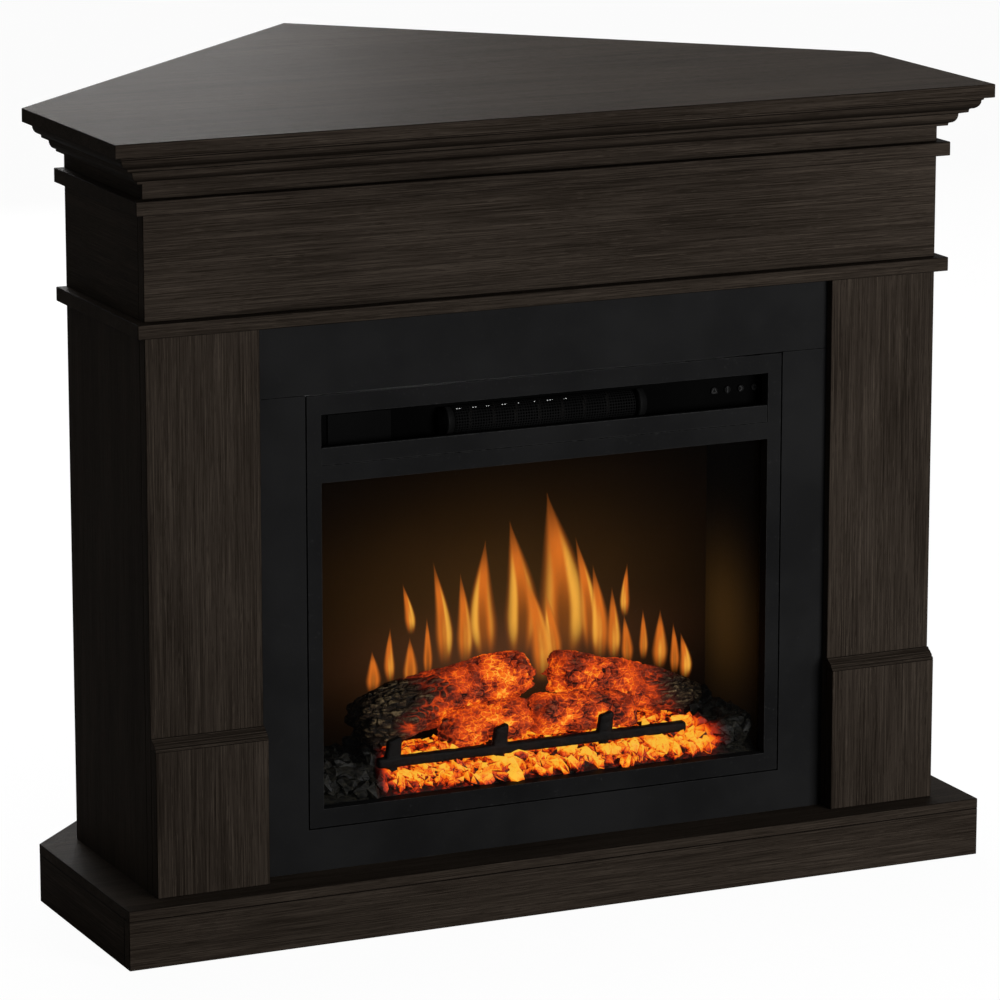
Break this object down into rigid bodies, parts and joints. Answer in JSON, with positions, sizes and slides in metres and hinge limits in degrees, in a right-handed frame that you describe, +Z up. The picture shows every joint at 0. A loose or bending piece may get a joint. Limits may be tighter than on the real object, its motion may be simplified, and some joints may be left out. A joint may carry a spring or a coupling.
{
  "type": "corner electric fireplace",
  "caption": "Corner mantel of dark oak boards with a five-sided top and base, a black surround and an electric fire with a heater slot, window, logs, embers and flame screen.",
  "frame": {"origin": "on the floor, in the middle of the footprint's length and depth", "axes": "+X to the right along the front, +Y from the front into the corner of the room, +Z up"},
  "size_m": [1.1, 0.85, 0.94],
  "materials": {
    "dark_oak": "dark oak laminate, satin",
    "black_board": "matt black painted board",
    "black_steel": "matt black powder coat",
    "dark_steel": "flat black paint",
    "zinc_steel": "galvanised sheet",
    "grille_steel": "dark grey mesh",
    "black_plastic": "fine moulded grain",
    "button_plastic": "satin, with a pale printed mark",
    "circuit_board": "solder mask",
    "heater_ceramic": "unglazed",
    "clear_glass": "clear, polished",
    "screen_plastic": "smoked, lit from behind",
    "ember_resin": "moulded coals, lit from below",
    "bark_resin": "moulded bark, glowing cracks",
    "cast_iron": "black, rough cast"
  },
  "bodies": {
    "root": {"top_board": "dark_oak", "cornice_front": "dark_oak", "cornice_left": "dark_oak", "cornice_right": "dark_oak", "upper_ledge": "dark_oak", "lower_ledge": "dark_oak", "frieze_front": "dark_oak", "frieze_left": "dark_oak", "frieze_right": "dark_oak", "pilaster_left": "dark_oak", "pilaster_right": "dark_oak", "plinth_block_left": "dark_oak", "plinth_block_right": "dark_oak", "plinth_moulding_left": "dark_oak", "plinth_moulding_right": "dark_oak", "side_panel_left": "dark_oak", "side_panel_right": "dark_oak", "inner_upright_left": "dark_oak", "inner_upright_right": "dark_oak", "rear_post": "dark_oak", "base_board": "dark_oak", "base_front": "dark_oak", "base_rail": "dark_oak", "base_side_left": "dark_oak", "base_side_right": "dark_oak", "base_wall_side_left": "dark_oak", "base_wall_side_right": "dark_oak", "fire_shelf": "dark_oak", "header_panel": "black_board", "surround_frame": "black_board", "front_frame": "black_steel", "slot_trim_bar": "black_steel", "fascia": "dark_steel", "cover_plate": "black_plastic", "outlet_grille": "grille_steel", "control_board": "circuit_board", "case": "zinc_steel", "rear_cover": "zinc_steel", "cable_gland": "black_plastic", "glass_pane": "clear_glass", "firebox_liner": "dark_steel", "flame_screen": "screen_plastic", "ember_bed": "ember_resin", "grate": "cast_iron", "log_back_left": "bark_resin", "log_back_right": "bark_resin", "log_front_left": "bark_resin", "log_front_right": "bark_resin", "light_board": "circuit_board", "rotor_motor": "zinc_steel", "rotor_bracket": "zinc_steel", "blower_housing": "zinc_steel", "blower_motor": "zinc_steel", "heating_element": "heater_ceramic"},
    "rotor": {"flame_rotor": "zinc_steel"},
    "blower": {"blower_wheel": "zinc_steel"},
    "power_key": {"button_power": "button_plastic"},
    "heat_key": {"button_heat": "button_plastic"},
    "flame_key": {"button_flame": "button_plastic"},
    "timer_key": {"button_timer": "button_plastic"}
  },
  "joints": [
    {"name": "rotor_spin", "type": "hinge", "parent": "root", "child": "rotor", "pos_m": [0, -0.18225, 0.1765], "axis": [1, 0, 0], "continuous": true},
    {"name": "blower_spin", "type": "hinge", "parent": "root", "child": "blower", "pos_m": [0, -0.3057, 0.57815], "axis": [1, 0, 0], "continuous": true},
    {"name": "power_press", "type": "slide", "parent": "root", "child": "power_key", "axis": [0, 1, 0], "range_m": [0, 0.0015], "stiffness_N_per_m": 400},
    {"name": "heat_press", "type": "slide", "parent": "root", "child": "heat_key", "axis": [0, 1, 0], "range_m": [0, 0.0015], "stiffness_N_per_m": 400},
    {"name": "flame_press", "type": "slide", "parent": "root", "child": "flame_key", "axis": [0, 1, 0], "range_m": [0, 0.0015], "stiffness_N_per_m": 400},
    {"name": "timer_press", "type": "slide", "parent": "root", "child": "timer_key", "axis": [0, 1, 0], "range_m": [0, 0.0015], "stiffness_N_per_m": 400}
  ]
}
